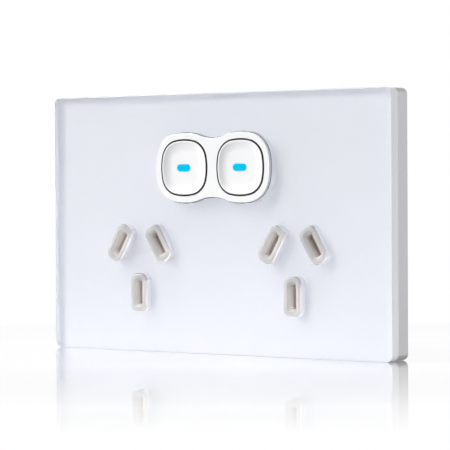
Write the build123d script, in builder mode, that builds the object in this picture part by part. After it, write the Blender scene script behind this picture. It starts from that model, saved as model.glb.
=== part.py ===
from build123d import *
import math
import os

os.makedirs("parts", exist_ok=True)

# A switched double power point. Millimetres. The wall is y = 0, the front faces -Y and +Z is up.
# The origin is the middle of the plate on the wall. Depths below are y values: minus is in front.

# Front plate
plate_width = 116.0
plate_height = 74.0
plate_corner = 1.8
plate_depth = 9.2
fascia_thickness = 3.6
fascia_edge_round = 0.35
backing_gap = 0.05
backing_thickness = 0.45
fit_gap = 0.2
pick_margin = 0.01

# Surround frame
frame_wall = 2.4
ledge_thickness = 1.2
ledge_width = 1.6
snap_length = 9.0
snap_height = 0.6
snap_back = -0.3
snap_thickness = 0.8
snap_spacing = 36.0

# Switch bezel and button holes
switch_z = 15.85
button_spacing = 19.4
hole_width = 16.2
side_radius = 16.9
corner_radius = 5.8
bezel_land = 1.85
bezel_waist_half = 8.35
bezel_proud = 0.8
bezel_edge_round = 0.15
hole_edge_round = 0.08
inner_flange = 1.5

# Buttons
button_gap = 0.38
button_proud = 0.15
button_rim = 0.45
button_edge_round = 0.12
dish_depth = 0.75
dish_flank_angle = 30.0
dish_floor_round = 5.0
button_skirt_depth = 5.15
button_wall = 1.3
cap_thickness = 1.4
stem_radius = 4.1
stem_bore = 3.2
stem_end = -0.5
pawl_width = 2.4
pawl_thickness = 1.3
pawl_low = 3.9
pawl_reach = 7.5

# Light guides
window_length = 4.6
window_height = 2.0
window_shift = -0.6
window_gap = 0.05
lens_proud = 0.2
lens_edge_round = 0.16
guide_length = 7.4

# Return springs of the buttons
return_spring_radius = 5.2
return_wire_radius = 0.3
return_spring_turns = 4
spring_end_gap = 0.08

# Sockets, three flat pins each: two slanted above, one upright below
socket_spacing = 53.2
socket_z = -9.8
pin_circle = 7.92
pin_slope = 30.0
earth_drop = 10.31
collar_length = 10.8
collar_width = 5.4
collar_corner = 1.9
collar_proud = 0.6
collar_edge_round = 0.3
funnel_depth = 0.75
funnel_run = 0.75
slot_length = 6.8
slot_width = 1.9
slot_corner = 0.5
insert_margin = 1.4

# Grid plate, screwed to the wall
mount_spacing = 84.0
mount_hole_radius = 2.1
mount_boss_radius = 4.2
mount_boss_height = 1.0
grid_thickness = 2.4
grid_rib = 1.6
grid_gap = 0.25

# Mechanism body behind the grid plate
body_width = 77.6
body_height = 52.0
body_wall = 1.4
body_back = 20.0
body_front_wall = 2.0
body_gap = 0.3
body_corner = 2.4
notch_gap = 1.2
notch_half_height = 3.4
clip_room = 0.5
ear_thickness = 1.2
ear_reach = 6.4
ear_height = 10.0
ear_z = 17.0
well_floor = -0.2
well_floor_thickness = 1.5
well_wall = 1.2
stem_gap = 0.35
sleeve_wall = 1.0
sleeve_back = 0.5
post_radius = 2.5
post_overlap = 0.6
pilot_radius = 1.1
pilot_depth = 9.0

# Rear cover
cover_thickness = 2.0
cover_edge_round = 0.5
rail_thickness = 1.2
rail_width = 5.2
rail_front = 9.0
strip_post_radius = 1.2
shroud_wall = 1.2
shroud_height = 3.0

# Contact carriers and bridge contacts
carrier_width = 5.0
carrier_height = 6.0
carrier_front = 11.8
carrier_depth = 4.4
carrier_gap = 0.3
bridge_length = 10.8
bridge_width = 3.0
bridge_front = 13.6
strip_thickness = 0.8
contact_radius = 1.2
contact_height = 0.6
contact_reach = 4.2
bridge_spring_radius = 1.6
bridge_wire_radius = 0.2
bridge_spring_turns = 3

# Contact strips and pin clips
strip_width = 3.2
tab_gap = 0.5
tab_below = 2.0
tab_above = 1.0
left_run_z = 4.25
neutral_arm_x = 1.7
neutral_arm_width = 3.0
neutral_pin_z = 18.0
clip_length = 6.0
leaf_thickness = 0.5
leaf_base_half_gap = 1.2
leaf_pinch_half_gap = 0.95
leaf_lip_half_gap = 1.3
clip_front = 1.0
pinch_depth = 3.0
pinch_run = 4.0

# Tunnel terminals
terminal_size = 7.0
terminal_back = 27.5
active_terminal_x = -4.75
active_terminal_z = 2.5
neutral_terminal_x = 9.5
terminal_window_gap = 0.2
tunnel_radius = 1.9
tunnel_depth = 23.4
terminal_screw_radius = 1.5
terminal_screw_gap = 0.05
terminal_screw_backed_out = 0.4
terminal_head_radius = 2.5
terminal_head_height = 2.0
driver_slot_width = 0.8
driver_slot_depth = 1.0

# Indicator board
board_front = 2.6
board_thickness = 1.2
board_width = 37.0
board_low = 13.65
board_high = 21.4
peg_radius = 0.7
peg_gap = 0.1
peg_length = 1.8
peg_shoulder_radius = 1.2
peg_reach = 6.6
peg_z = 19.4
lamp_length = 3.0
lamp_width = 1.6
lamp_height = 0.9
resistor_length = 3.2
resistor_width = 1.6
resistor_height = 0.9
resistor_x = 12.0
resistor_z = 17.6
board_pin_radius = 0.45
board_pin_x = 15.0
board_pin_z = 15.6

# Screws that hold the assembly together
assembly_radius = 1.4
assembly_end = -0.2
assembly_clearance = 0.2
assembly_head_radius = 2.5
assembly_head_height = 1.3
cover_screw_radius = 1.05
cover_screw_length = 7.0
cover_head_radius = 2.2
cover_head_height = 1.4
cross_length = 2.8
cross_depth = 0.8

# Depths that follow from the sizes above
fascia_front = -plate_depth
fascia_back = fascia_front + fascia_thickness
backing_front = fascia_back + backing_gap
backing_back = backing_front + backing_thickness
ledge_back = backing_back + ledge_thickness
deck = backing_back + inner_flange
ear_back = deck + ear_thickness
grid_front = -grid_thickness
body_front_back = deck + body_front_wall
bezel_front = fascia_front - bezel_proud
button_front = bezel_front - button_proud
dish_floor = button_front + dish_depth
cap_back = dish_floor + cap_thickness
skirt_end = button_front + button_skirt_depth
well_back = well_floor + well_floor_thickness
board_back = board_front + board_thickness
cover_back = body_back + cover_thickness
contact_face = bridge_front + strip_thickness + contact_height
strip_front = contact_face + contact_height
strip_back = strip_front + strip_thickness
rear_strip_front = body_back - strip_thickness
carrier_back = carrier_front + carrier_depth

# Places that follow from the sizes above
button_xs = (-button_spacing / 2, button_spacing / 2)
socket_xs = (-socket_spacing / 2, socket_spacing / 2)
mount_xs = (-mount_spacing / 2, mount_spacing / 2)
cavity_width = plate_width - 2 * frame_wall
cavity_height = plate_height - 2 * frame_wall
ear_x = (body_width + ear_reach) / 2
post_x = body_width / 2 - body_wall - post_radius + post_overlap
post_z = body_height / 2 - body_wall - post_radius + post_overlap
clip_width = 2 * (leaf_base_half_gap + leaf_thickness)
carrier_z = switch_z - pawl_low + pawl_thickness / 2
pin_x = pin_circle * math.cos(math.radians(pin_slope))
pin_z = pin_circle * math.sin(math.radians(pin_slope))
sides = ("left", "right")

# Each socket's pins as x, z and the lean of the blade: active, neutral, earth
socket_pins = {}
for side, socket_x in zip(sides, socket_xs):
    active_pin = (socket_x - pin_x, socket_z + pin_z, -pin_slope)
    neutral_pin = (socket_x + pin_x, socket_z + pin_z, pin_slope)
    earth_pin = (socket_x, socket_z - earth_drop, 0)
    socket_pins[side] = (active_pin, neutral_pin, earth_pin)
all_pins = socket_pins["left"] + socket_pins["right"]

# The button hole is four bowed sides joined by four corner arcs
side_centre = side_radius - hole_width / 2
corner_reach = side_radius - corner_radius
corner_centre = (math.sqrt(2 * corner_reach**2 - side_centre**2) - side_centre) / 2
side_half_angle = math.degrees(math.atan2(corner_centre, corner_centre + side_centre))


def wall_plane(depth):
    """Return a drawing plane parallel to the wall, seen from the front."""
    return Plane(origin=(0, depth, 0), x_dir=(1, 0, 0), z_dir=(0, -1, 0))


def at_depth(shapes, depth):
    """Return the shapes whose middle lies at this depth."""
    return shapes.filter_by_position(Axis.Y, depth - pick_margin, depth + pick_margin)


def turned(radius, angle):
    """Return the point at this radius and angle in degrees."""
    return (radius * math.cos(math.radians(angle)), radius * math.sin(math.radians(angle)))


def squircle(grow):
    """Return the button hole's outline, grown outwards by this much."""
    with BuildSketch() as outline:
        with BuildLine():
            for turn in (0, 90, 180, 270):
                side_middle = turned(side_centre, turn + 180)
                CenterArc(side_middle, side_radius + grow, turn - side_half_angle, 2 * side_half_angle)
                corner_middle = turned(corner_centre * math.sqrt(2), turn + 45)
                corner_start = turn + side_half_angle
                CenterArc(corner_middle, corner_radius + grow, corner_start, 90 - 2 * side_half_angle)
        make_face()
    return outline.sketch


def peanut(grow):
    """Return the bezel's outline round both buttons, grown outwards by this much."""
    lobe_x = button_spacing / 2
    lobe_corner = corner_radius + bezel_land
    across = lobe_x - corner_centre
    rise = bezel_waist_half - corner_centre
    waist_radius = (across**2 + rise**2 - lobe_corner**2) / (2 * (lobe_corner - rise))
    waist_centre = bezel_waist_half + waist_radius
    waist_half_angle = math.degrees(math.atan2(across, waist_centre - corner_centre))
    side = side_radius + bezel_land + grow
    corner = lobe_corner + grow
    swing = 90 - 2 * side_half_angle
    with BuildSketch() as outline:
        with BuildLine():
            CenterArc((0, waist_centre), waist_radius - grow, 270 - waist_half_angle, 2 * waist_half_angle)
            for x_sign in (1, -1):
                inner_start = 90 + side_half_angle if x_sign > 0 else 90 - waist_half_angle
                inner_swing = waist_half_angle - side_half_angle
                CenterArc((x_sign * across, corner_centre), corner, inner_start, inner_swing)
                CenterArc((x_sign * lobe_x, -side_centre), side, 90 - side_half_angle, 2 * side_half_angle)
                outer_start = side_half_angle if x_sign > 0 else 90 + side_half_angle
                CenterArc((x_sign * (lobe_x + corner_centre), corner_centre), corner, outer_start, swing)
                end_start = 0 if x_sign > 0 else 180 - side_half_angle
                CenterArc((x_sign * (lobe_x - side_centre), 0), side, end_start, side_half_angle)
            mirror(about=Plane.XZ)
        make_face()
    return outline.sketch


def body_outline(grow):
    """Return the mechanism's outline, grown by this much.

    It is a box that bulges where a button well or a pin clip needs room, with a notch at each wall screw.
    """
    notch_half_width = mount_boss_radius + notch_gap - grow
    room = clip_room + body_wall + grow
    well_shape = squircle(well_wall + grow)
    with BuildSketch() as outline:
        RectangleRounded(body_width + 2 * grow, body_height + 2 * grow, body_corner + grow)
        with Locations(*[(x, switch_z) for x in button_xs]):
            add(well_shape)
        for x, z, lean in all_pins:
            with Locations((x, z)):
                RectangleRounded(clip_width + 2 * room, clip_length + 2 * room, room, rotation=lean)
        with Locations(*[(x, 0) for x in mount_xs]):
            Rectangle(2 * notch_half_width, 2 * (notch_half_height - grow), mode=Mode.SUBTRACT)
    return outline.sketch


def collars(pins, grow):
    """Return the collar outlines of these pins, grown by this much."""
    width = collar_width + 2 * grow
    length = collar_length + 2 * grow
    with BuildSketch() as outline:
        for x, z, lean in pins:
            with Locations((x, z)):
                RectangleRounded(width, length, collar_corner + grow, rotation=lean)
    return outline.sketch


def slots(pins, grow):
    """Return the pin slots of these pins, grown by this much."""
    width = slot_width + 2 * grow
    length = slot_length + 2 * grow
    with BuildSketch() as outline:
        for x, z, lean in pins:
            with Locations((x, z)):
                RectangleRounded(width, length, slot_corner + grow, rotation=lean)
    return outline.sketch


def insert_base(pins):
    """Return the base of a socket insert, wrapped round its collars."""
    with BuildSketch() as outline:
        add(collars(pins, insert_margin))
        make_hull()
    return outline.sketch


def clip_plane(pin):
    """Return the plane across a pin's blade, local x across the blade and local y into the wall."""
    x, z, lean = pin
    across = (math.cos(math.radians(lean)), 0, math.sin(math.radians(lean)))
    along = (-math.sin(math.radians(lean)), 0, math.cos(math.radians(lean)))
    return Plane(origin=(x, 0, z), x_dir=across, z_dir=along)


def leaf(base_depth, way):
    """Return one leaf of a pin clip, from its base forward to the flared lip."""
    pinch = clip_front + pinch_depth
    run_end = pinch + pinch_run
    inner = [
        (leaf_base_half_gap, base_depth),
        (leaf_base_half_gap, run_end),
        (leaf_pinch_half_gap, pinch),
        (leaf_lip_half_gap, clip_front),
    ]
    outer = [(gap + leaf_thickness, depth) for gap, depth in reversed(inner)]
    points = [(way * gap, depth) for gap, depth in inner + outer]
    with BuildSketch() as outline:
        with BuildLine():
            Polyline(*points, close=True)
        make_face()
    return outline.sketch


def clip_bases(pins):
    """Return the footprints on which the leaves of these pins' clips stand."""
    with BuildSketch() as outline:
        for x, z, lean in pins:
            with Locations((x, z)):
                Rectangle(clip_width, clip_length, rotation=lean)
    return outline.sketch


def clip(pin, base_depth):
    """Return the two leaves that grip one pin."""
    leaves = [leaf(base_depth, -1), leaf(base_depth, 1)]
    with BuildPart() as gripped:
        with BuildSketch(clip_plane(pin)):
            for one in leaves:
                add(one)
        extrude(amount=clip_length / 2, both=True)
    return gripped.part


hole_outline = squircle(0)
button_outline = squircle(-button_gap)
dish_outline = squircle(-button_gap - button_rim)
button_hollow = squircle(-button_gap - button_wall)
well_outline = squircle(well_wall)
bezel_outline = peanut(0)
bezel_opening = peanut(fit_gap)
bezel_flange = peanut(inner_flange)
collar_openings = collars(all_pins, fit_gap)
pin_slots = slots(all_pins, 0)
pin_sleeves = slots(all_pins, sleeve_wall)
body_shape = body_outline(0)
body_inside = body_outline(-body_wall)
grid_opening = body_outline(body_gap)

# Fascia: the clear front plate
with BuildPart() as fascia:
    with BuildSketch(wall_plane(fascia_back)):
        RectangleRounded(plate_width, plate_height, plate_corner)
        with Locations((0, switch_z)):
            add(bezel_opening, mode=Mode.SUBTRACT)
        add(collar_openings, mode=Mode.SUBTRACT)
    extrude(amount=fascia_thickness)
    front_face = fascia.faces().sort_by(Axis.Y)[0]
    fillet(front_face.outer_wire().edges(), radius=fascia_edge_round)
fascia.part.label = "fascia"
export_step(fascia.part, "parts/fascia.step")

# Fascia backing: the white sheet behind the clear plate
with BuildPart() as fascia_backing:
    with BuildSketch(wall_plane(backing_back)):
        RectangleRounded(plate_width, plate_height, plate_corner)
        with Locations((0, switch_z)):
            add(bezel_opening, mode=Mode.SUBTRACT)
        add(collar_openings, mode=Mode.SUBTRACT)
    extrude(amount=backing_thickness)
fascia_backing.part.label = "fascia_backing"
export_step(fascia_backing.part, "parts/fascia_backing.step")

# Surround frame: the grey rim, with a ledge in front and snap ridges that hold it on the grid plate
snap_places = [(step * snap_spacing, way) for way in (-1, 1) for step in (-1, 0, 1)]
with BuildPart() as surround_frame:
    with BuildSketch(wall_plane(0)):
        RectangleRounded(plate_width, plate_height, plate_corner)
    extrude(amount=-backing_back)
    with BuildSketch(wall_plane(0)):
        Rectangle(cavity_width, cavity_height)
    extrude(amount=-ledge_back, mode=Mode.SUBTRACT)
    with BuildSketch(wall_plane(0)):
        Rectangle(cavity_width - 2 * ledge_width, cavity_height - 2 * ledge_width)
    extrude(amount=-backing_back, mode=Mode.SUBTRACT)
    with BuildSketch(wall_plane(snap_back)):
        for snap_x, way in snap_places:
            with Locations((snap_x, way * (cavity_height - snap_height) / 2)):
                Rectangle(snap_length, snap_height)
    extrude(amount=snap_thickness)
surround_frame.part.label = "surround_frame"
export_step(surround_frame.part, "parts/surround_frame.step")

# Switch bezel: the white peanut round both buttons, with a flange that the backing holds down
with BuildPart() as switch_bezel:
    with BuildSketch(wall_plane(deck)):
        with Locations((0, switch_z)):
            add(bezel_outline)
    extrude(amount=deck - bezel_front)
    front_face = switch_bezel.faces().sort_by(Axis.Y)[0]
    fillet(front_face.edges(), radius=bezel_edge_round)
    with BuildSketch(wall_plane(deck)):
        with Locations((0, switch_z)):
            add(bezel_flange)
    extrude(amount=inner_flange)
    with BuildSketch(wall_plane(deck)):
        with Locations(*[(x, switch_z) for x in button_xs]):
            add(hole_outline)
    extrude(amount=deck - bezel_front, mode=Mode.SUBTRACT)
    front_face = switch_bezel.faces().sort_by(Axis.Y)[0]
    for hole_wire in front_face.inner_wires():
        fillet(hole_wire.edges(), radius=hole_edge_round)
switch_bezel.part.label = "switch_bezel"
export_step(switch_bezel.part, "parts/switch_bezel.step")

# Buttons: a dished cap on a hollow stem, with a pawl that reaches back to the contact carrier
for side, button_x in zip(sides, button_xs):
    with BuildPart() as button:
        with BuildSketch(wall_plane(skirt_end)):
            with Locations((button_x, switch_z)):
                add(button_outline)
        extrude(amount=button_skirt_depth)
        with BuildSketch(wall_plane(button_front)):
            with Locations((button_x, switch_z)):
                add(dish_outline)
        extrude(amount=-dish_depth, taper=90 - dish_flank_angle, mode=Mode.SUBTRACT)
        fillet(at_depth(button.edges(), dish_floor), radius=dish_floor_round)
        rim_face = button.faces().sort_by(Axis.Y)[0]
        fillet(rim_face.edges(), radius=button_edge_round)
        with BuildSketch(wall_plane(skirt_end)):
            with Locations((button_x, switch_z)):
                add(button_hollow)
        extrude(amount=skirt_end - cap_back, mode=Mode.SUBTRACT)
        with BuildSketch(wall_plane(stem_end)):
            with Locations((button_x, switch_z)):
                Circle(stem_radius)
                Circle(stem_bore, mode=Mode.SUBTRACT)
        extrude(amount=stem_end - cap_back)
        with BuildSketch(wall_plane(stem_end + pawl_reach)):
            with Locations((button_x, carrier_z)):
                Rectangle(pawl_width, pawl_thickness)
        extrude(amount=pawl_reach + pawl_width)
        with BuildSketch(wall_plane(stem_end)):
            with Locations((button_x, switch_z)):
                Circle(stem_bore)
        extrude(amount=stem_end - cap_back, mode=Mode.SUBTRACT)
        with BuildSketch(wall_plane(cap_back)):
            with Locations((button_x + window_shift, switch_z)):
                SlotOverall(window_length + 2 * window_gap, window_height + 2 * window_gap)
        extrude(amount=2 * cap_thickness, mode=Mode.SUBTRACT)
    button.part.label = "button_" + side
    export_step(button.part, "parts/button_" + side + ".step")

# Light guides: the clear bars that carry the lamp's light through the buttons
lens_front = dish_floor - lens_proud
for side, button_x in zip(sides, button_xs):
    with BuildPart() as light_guide:
        with BuildSketch(wall_plane(lens_front + guide_length)):
            with Locations((button_x + window_shift, switch_z)):
                SlotOverall(window_length, window_height)
        extrude(amount=guide_length)
        lens_face = light_guide.faces().sort_by(Axis.Y)[0]
        fillet(lens_face.edges(), radius=lens_edge_round)
    light_guide.part.label = "light_guide_" + side
    export_step(light_guide.part, "parts/light_guide_" + side + ".step")

# Return springs: round the stems, between the caps and the well floors
spring_start = cap_back + return_wire_radius + spring_end_gap
spring_finish = well_floor - return_wire_radius - spring_end_gap
spring_height = spring_finish - spring_start
for side, button_x in zip(sides, button_xs):
    with BuildPart() as return_spring:
        with BuildLine() as coil:
            Helix(
                pitch=spring_height / return_spring_turns,
                height=spring_height,
                radius=return_spring_radius,
                center=(button_x, spring_start, switch_z),
                direction=(0, 1, 0),
            )
        with BuildSketch(Plane(origin=coil.line @ 0, z_dir=coil.line % 0)):
            Circle(return_wire_radius)
        sweep(is_frenet=True)
    return_spring.part.label = "return_spring_" + side
    export_step(return_spring.part, "parts/return_spring_" + side + ".step")

# Socket inserts: clear mouldings with three collars that come through the fascia
collar_front = fascia_front - collar_proud
funnel_taper = math.degrees(math.atan2(funnel_run, funnel_depth))
for side in sides:
    base_shape = insert_base(socket_pins[side])
    collar_shapes = collars(socket_pins[side], 0)
    mouth_shapes = slots(socket_pins[side], funnel_run)
    slot_shapes = slots(socket_pins[side], 0)
    with BuildPart() as socket_insert:
        with BuildSketch(wall_plane(deck)):
            add(collar_shapes)
        extrude(amount=deck - collar_front)
        fillet(at_depth(socket_insert.edges(), collar_front), radius=collar_edge_round)
        with BuildSketch(wall_plane(deck)):
            add(base_shape)
        extrude(amount=inner_flange)
        with BuildSketch(wall_plane(collar_front)):
            add(mouth_shapes)
        extrude(amount=-funnel_depth, taper=funnel_taper, mode=Mode.SUBTRACT)
        with BuildSketch(wall_plane(deck)):
            add(slot_shapes)
        extrude(amount=deck - collar_front, mode=Mode.SUBTRACT)
    socket_insert.part.label = "socket_insert_" + side
    export_step(socket_insert.part, "parts/socket_insert_" + side + ".step")

# Grid plate: screwed to the wall, carries the mechanism and the frame
grid_width = cavity_width - 2 * grid_gap
grid_height = cavity_height - 2 * grid_gap
snap_recess = snap_height + grid_gap
with BuildPart() as grid_plate:
    with BuildSketch(wall_plane(0)):
        Rectangle(grid_width, grid_height)
    extrude(amount=-ledge_back)
    with BuildSketch(wall_plane(grid_front)):
        Rectangle(grid_width - 2 * grid_rib, grid_height - 2 * grid_rib)
    extrude(amount=grid_front - ledge_back, mode=Mode.SUBTRACT)
    with BuildSketch(wall_plane(grid_front)):
        with Locations(*[(x, 0) for x in mount_xs]):
            Circle(mount_boss_radius)
    extrude(amount=mount_boss_height)
    with BuildSketch(wall_plane(0)):
        add(grid_opening)
        with Locations(*[(x, 0) for x in mount_xs]):
            Circle(mount_hole_radius)
    extrude(amount=-ledge_back, mode=Mode.SUBTRACT)
    with BuildSketch(wall_plane(0)):
        with GridLocations(2 * ear_x, 2 * ear_z, 2, 2):
            Circle(assembly_radius)
    extrude(amount=grid_thickness, mode=Mode.SUBTRACT)
    with BuildSketch(wall_plane(0)):
        for snap_x, way in snap_places:
            with Locations((snap_x, way * (grid_height - snap_recess) / 2)):
                Rectangle(snap_length + 2 * grid_gap, snap_recess)
    extrude(amount=snap_thickness - snap_back, mode=Mode.SUBTRACT)
grid_plate.part.label = "grid_plate"
export_step(grid_plate.part, "parts/grid_plate.step")

# Mechanism body: an open-backed box with screw ears, button wells, pin sleeves, screw posts and board pegs
peg_places = [(x + reach, peg_z) for x in button_xs for reach in (-peg_reach, peg_reach)]
with BuildPart() as mechanism_body:
    with BuildSketch(wall_plane(body_back)):
        add(body_shape)
    extrude(amount=body_back - deck)
    with BuildSketch(wall_plane(body_back)):
        add(body_inside)
    extrude(amount=body_back - body_front_back, mode=Mode.SUBTRACT)
    with BuildSketch(wall_plane(ear_back)):
        with Locations((0, ear_z), (0, -ear_z)):
            Rectangle(body_width + 2 * ear_reach, ear_height)
        with GridLocations(2 * ear_x, 2 * ear_z, 2, 2):
            Circle(assembly_radius + assembly_clearance, mode=Mode.SUBTRACT)
    extrude(amount=ear_thickness)
    with BuildSketch(wall_plane(well_back)):
        with Locations(*[(x, switch_z) for x in button_xs]):
            add(well_outline)
    extrude(amount=well_back - deck)
    with BuildSketch(wall_plane(well_floor)):
        with Locations(*[(x, switch_z) for x in button_xs]):
            add(hole_outline)
    extrude(amount=well_floor - deck, mode=Mode.SUBTRACT)
    with BuildSketch(wall_plane(well_back)):
        with Locations(*[(x, switch_z) for x in button_xs]):
            Circle(stem_radius + stem_gap)
    extrude(amount=well_floor_thickness, mode=Mode.SUBTRACT)
    with BuildSketch(wall_plane(sleeve_back)):
        add(pin_sleeves)
    extrude(amount=sleeve_back - body_front_back)
    with BuildSketch(wall_plane(sleeve_back)):
        add(pin_slots)
    extrude(amount=sleeve_back - deck, mode=Mode.SUBTRACT)
    with BuildSketch(wall_plane(body_back)):
        with GridLocations(2 * post_x, 2 * post_z, 2, 2):
            Circle(post_radius)
    extrude(amount=body_back - body_front_back)
    with BuildSketch(wall_plane(body_back)):
        with GridLocations(2 * post_x, 2 * post_z, 2, 2):
            Circle(pilot_radius)
    extrude(amount=pilot_depth, mode=Mode.SUBTRACT)
    with BuildSketch(wall_plane(board_front)):
        with Locations(*peg_places):
            Circle(peg_shoulder_radius)
    extrude(amount=board_front - well_back)
    with BuildSketch(wall_plane(board_front + peg_length)):
        with Locations(*peg_places):
            Circle(peg_radius)
    extrude(amount=peg_length)
mechanism_body.part.label = "mechanism_body"
export_step(mechanism_body.part, "parts/mechanism_body.step")

# Where the strips run. The active bar joins both switches in the middle.
active_half = button_spacing / 2 - carrier_width / 2 - tab_gap
active_terminal = (active_terminal_x, active_terminal_z)
neutral_terminal = (neutral_terminal_x, socket_z + pin_z)
earth_terminal = (0, socket_z - earth_drop)
outer_tab_x = button_spacing / 2 + carrier_width / 2 + tab_gap + strip_width / 2
left_drop_x = socket_pins["left"][0][0] + strip_width
tab_high = board_pin_z + tab_above
active_left = socket_pins["left"][0]
neutral_left = socket_pins["left"][1]
earth_left = socket_pins["left"][2]
active_right = socket_pins["right"][0]
neutral_right = socket_pins["right"][1]
earth_right = socket_pins["right"][2]

# Active bar: from the active terminal to the inner contact of both switches
with BuildPart() as active_bar:
    with BuildSketch(wall_plane(strip_back)):
        with Locations((0, carrier_z)):
            Rectangle(2 * active_half, 2 * tab_below)
        with Locations((active_terminal[0], (active_terminal[1] + carrier_z) / 2 - terminal_size / 4)):
            Rectangle(strip_width, carrier_z - active_terminal[1] + terminal_size / 2)
    extrude(amount=strip_thickness)
    with BuildSketch(wall_plane(strip_front)):
        with Locations(*[(x - math.copysign(contact_reach, x), carrier_z) for x in button_xs]):
            Circle(contact_radius)
    extrude(amount=contact_height)
active_bar.part.label = "active_bar"
export_step(active_bar.part, "parts/active_bar.step")

# Switched contacts: from the outer contact of each switch to that socket's active pin clip
left_clip = clip(active_left, strip_front)
left_base = clip_bases([active_left])
with BuildPart() as switched_contact_left:
    with BuildSketch(wall_plane(strip_back)):
        with Locations((-outer_tab_x, (tab_high + left_run_z) / 2)):
            Rectangle(strip_width, tab_high - left_run_z + strip_width)
        with Locations(((left_drop_x - outer_tab_x) / 2, left_run_z)):
            Rectangle(-outer_tab_x - left_drop_x + strip_width, strip_width)
        with Locations((left_drop_x, (left_run_z + active_left[1]) / 2)):
            Rectangle(strip_width, left_run_z - active_left[1] + strip_width)
        add(left_base)
    extrude(amount=strip_thickness)
    with BuildSketch(wall_plane(strip_front)):
        with Locations((button_xs[0] - contact_reach, carrier_z)):
            Circle(contact_radius)
    extrude(amount=contact_height)
    add(left_clip)
switched_contact_left.part.label = "switched_contact_left"
export_step(switched_contact_left.part, "parts/switched_contact_left.step")

right_clip = clip(active_right, strip_front)
right_base = clip_bases([active_right])
with BuildPart() as switched_contact_right:
    with BuildSketch(wall_plane(strip_back)):
        with Locations((outer_tab_x, (tab_high + active_right[1]) / 2)):
            Rectangle(strip_width, tab_high - active_right[1] + strip_width)
        with Locations(((outer_tab_x + active_right[0]) / 2, active_right[1])):
            Rectangle(active_right[0] - outer_tab_x + strip_width, strip_width)
        add(right_base)
    extrude(amount=strip_thickness)
    with BuildSketch(wall_plane(strip_front)):
        with Locations((button_xs[1] + contact_reach, carrier_z)):
            Circle(contact_radius)
    extrude(amount=contact_height)
    add(right_clip)
switched_contact_right.part.label = "switched_contact_right"
export_step(switched_contact_right.part, "parts/switched_contact_right.step")

# Neutral bar: both neutral pin clips, with an arm up to the indicator board
neutral_bases = clip_bases([neutral_left, neutral_right])
neutral_clips = [clip(neutral_left, rear_strip_front), clip(neutral_right, rear_strip_front)]
with BuildPart() as neutral_bar:
    with BuildSketch(wall_plane(body_back)):
        with Locations(((neutral_left[0] + neutral_right[0]) / 2, neutral_left[1])):
            Rectangle(neutral_right[0] - neutral_left[0] + strip_width, strip_width)
        add(neutral_bases)
        with Locations((neutral_arm_x, (neutral_left[1] + neutral_pin_z) / 2)):
            Rectangle(neutral_arm_width, neutral_pin_z - neutral_left[1] + neutral_arm_width)
    extrude(amount=strip_thickness)
    for one in neutral_clips:
        add(one)
neutral_bar.part.label = "neutral_bar"
export_step(neutral_bar.part, "parts/neutral_bar.step")

# Earth bar: both earth pin clips
earth_bases = clip_bases([earth_left, earth_right])
earth_clips = [clip(earth_left, rear_strip_front), clip(earth_right, rear_strip_front)]
with BuildPart() as earth_bar:
    with BuildSketch(wall_plane(body_back)):
        with Locations((0, earth_left[1])):
            Rectangle(earth_right[0] - earth_left[0] + strip_width, strip_width)
        add(earth_bases)
    extrude(amount=strip_thickness)
    for one in earth_clips:
        add(one)
earth_bar.part.label = "earth_bar"
export_step(earth_bar.part, "parts/earth_bar.step")

# Contact carriers: slide on the cover's rails and hold the bridge contacts
for side, button_x in zip(sides, button_xs):
    with BuildPart() as carrier:
        with BuildSketch(wall_plane(carrier_back)):
            with Locations((button_x, carrier_z)):
                Rectangle(carrier_width, carrier_height)
        extrude(amount=carrier_depth)
        with BuildSketch(wall_plane(bridge_front + strip_thickness)):
            with Locations((button_x, carrier_z)):
                Rectangle(carrier_width, bridge_width)
        extrude(amount=strip_thickness, mode=Mode.SUBTRACT)
    carrier.part.label = "contact_carrier_" + side
    export_step(carrier.part, "parts/contact_carrier_" + side + ".step")
    with BuildPart() as bridge:
        with BuildSketch(wall_plane(bridge_front + strip_thickness)):
            with Locations((button_x, carrier_z)):
                Rectangle(bridge_length, bridge_width)
        extrude(amount=strip_thickness)
        with BuildSketch(wall_plane(contact_face)):
            with Locations((button_x - contact_reach, carrier_z), (button_x + contact_reach, carrier_z)):
                Circle(contact_radius)
        extrude(amount=contact_height)
    bridge.part.label = "bridge_contact_" + side
    export_step(bridge.part, "parts/bridge_contact_" + side + ".step")

# Carrier springs: between the carriers and the rear cover
carrier_spring_start = carrier_back + bridge_wire_radius + spring_end_gap
carrier_spring_height = body_back - carrier_back - 2 * (bridge_wire_radius + spring_end_gap)
for side, button_x in zip(sides, button_xs):
    with BuildPart() as carrier_spring:
        with BuildLine() as coil:
            Helix(
                pitch=carrier_spring_height / bridge_spring_turns,
                height=carrier_spring_height,
                radius=bridge_spring_radius,
                center=(button_x, carrier_spring_start, carrier_z),
                direction=(0, 1, 0),
            )
        with BuildSketch(Plane(origin=coil.line @ 0, z_dir=coil.line % 0)):
            Circle(bridge_wire_radius)
        sweep(is_frenet=True)
    carrier_spring.part.label = "carrier_spring_" + side
    export_step(carrier_spring.part, "parts/carrier_spring_" + side + ".step")

# Tunnel terminals: brass blocks on the strips, the wire goes in from below
terminals = {
    "active": (active_terminal, strip_back),
    "neutral": (neutral_terminal, body_back),
    "earth": (earth_terminal, body_back),
}
for name, (place, start) in terminals.items():
    with BuildPart() as terminal:
        with BuildSketch(wall_plane(terminal_back)):
            with Locations(place):
                Rectangle(terminal_size, terminal_size)
        extrude(amount=terminal_back - start)
        with BuildSketch(Plane(origin=(place[0], tunnel_depth, place[1]))):
            Circle(tunnel_radius)
        extrude(amount=terminal_size, both=True, mode=Mode.SUBTRACT)
        with BuildSketch(wall_plane(terminal_back)):
            with Locations(place):
                Circle(terminal_screw_radius + terminal_screw_gap)
        extrude(amount=terminal_back - tunnel_depth, mode=Mode.SUBTRACT)
    terminal.part.label = "terminal_" + name
    export_step(terminal.part, "parts/terminal_" + name + ".step")

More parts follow.
